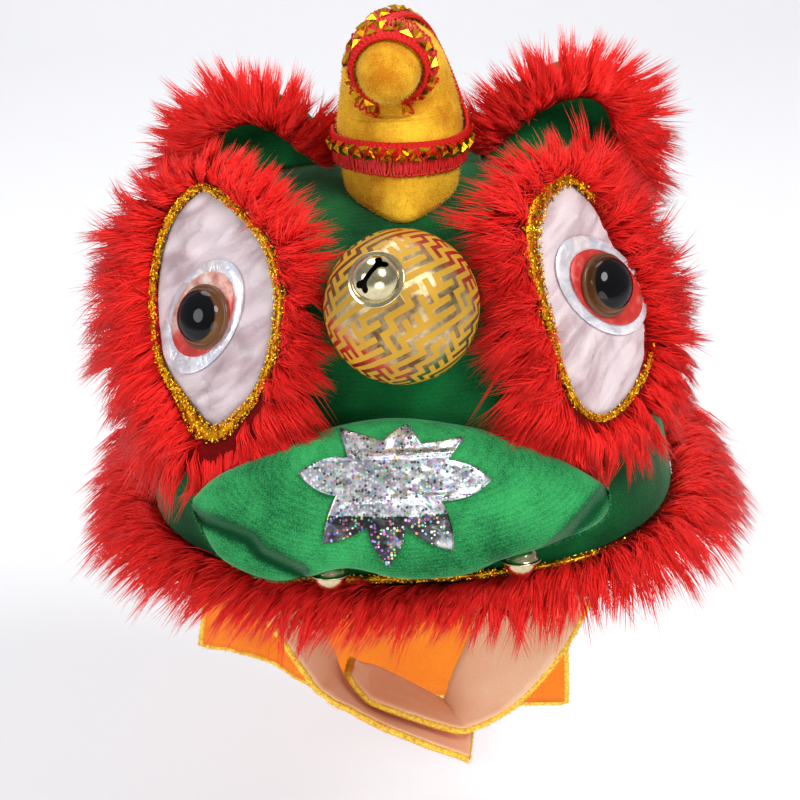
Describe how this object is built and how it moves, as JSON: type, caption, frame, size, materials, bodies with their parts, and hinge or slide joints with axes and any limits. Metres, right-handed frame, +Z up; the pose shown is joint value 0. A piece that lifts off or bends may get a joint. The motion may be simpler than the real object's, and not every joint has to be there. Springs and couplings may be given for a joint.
{
  "type": "pet lion dance costume",
  "caption": "Hollow soft head costume for a small pet, with horn, furry ears and eyes, nose ball, stuffed lip, fur brim, fastening straps and rear cape.",
  "frame": {"origin": "the inner top of the crown, where the costume sits on the head of the pet that wears it", "axes": "+Z up, the face looks towards -Y, +X to the right of one who looks at the face"},
  "size_m": [0.2476, 0.1843, 0.3176],
  "materials": {
    "green_velvet": "short green pile over foam",
    "yellow_velvet": "short yellow pile, stuffed",
    "red_fur": "long red synthetic fur",
    "red_braid": "red braid with gold sequins",
    "gold_tinsel": "metallized film cord",
    "white_satin": "padded white satin",
    "silver_foil": "silver holographic foil",
    "red_foil": "red iridescent foil",
    "brown_plastic": "polished",
    "gold_brocade": "gold satin with metal thread",
    "gilt_metal": "bright plated",
    "orange_satin": "satin with a pile edge",
    "lining": "brushed grey-pink lining"
  },
  "bodies": {
    "root": {"head_shell": "green_velvet", "cape": "orange_satin", "strap_left": "orange_satin", "strap_right": "orange_satin", "strap_lining_left": "lining", "strap_lining_right": "lining", "lip": "green_velvet", "star_patch": "silver_foil", "bell_left": "gilt_metal", "bell_right": "gilt_metal", "horn": "yellow_velvet", "horn_braid": "red_braid", "nose_ball": "gold_brocade", "nose_bell": "gilt_metal", "ear_left": "green_velvet", "ear_right": "green_velvet", "ear_fur_left": "red_fur", "ear_fur_right": "red_fur", "eye_panel_left": "white_satin", "eye_panel_right": "white_satin", "eye_tinsel_left": "gold_tinsel", "eye_tinsel_right": "gold_tinsel", "eye_foil_left": "silver_foil", "eye_foil_right": "silver_foil", "eye_ring_left": "red_foil", "eye_ring_right": "red_foil", "eye_dome_left": "brown_plastic", "eye_dome_right": "brown_plastic", "eye_fur_left": "red_fur", "eye_fur_right": "red_fur", "brim_fur": "red_fur", "brim_tinsel": "gold_tinsel"}
  },
  "joints": []
}
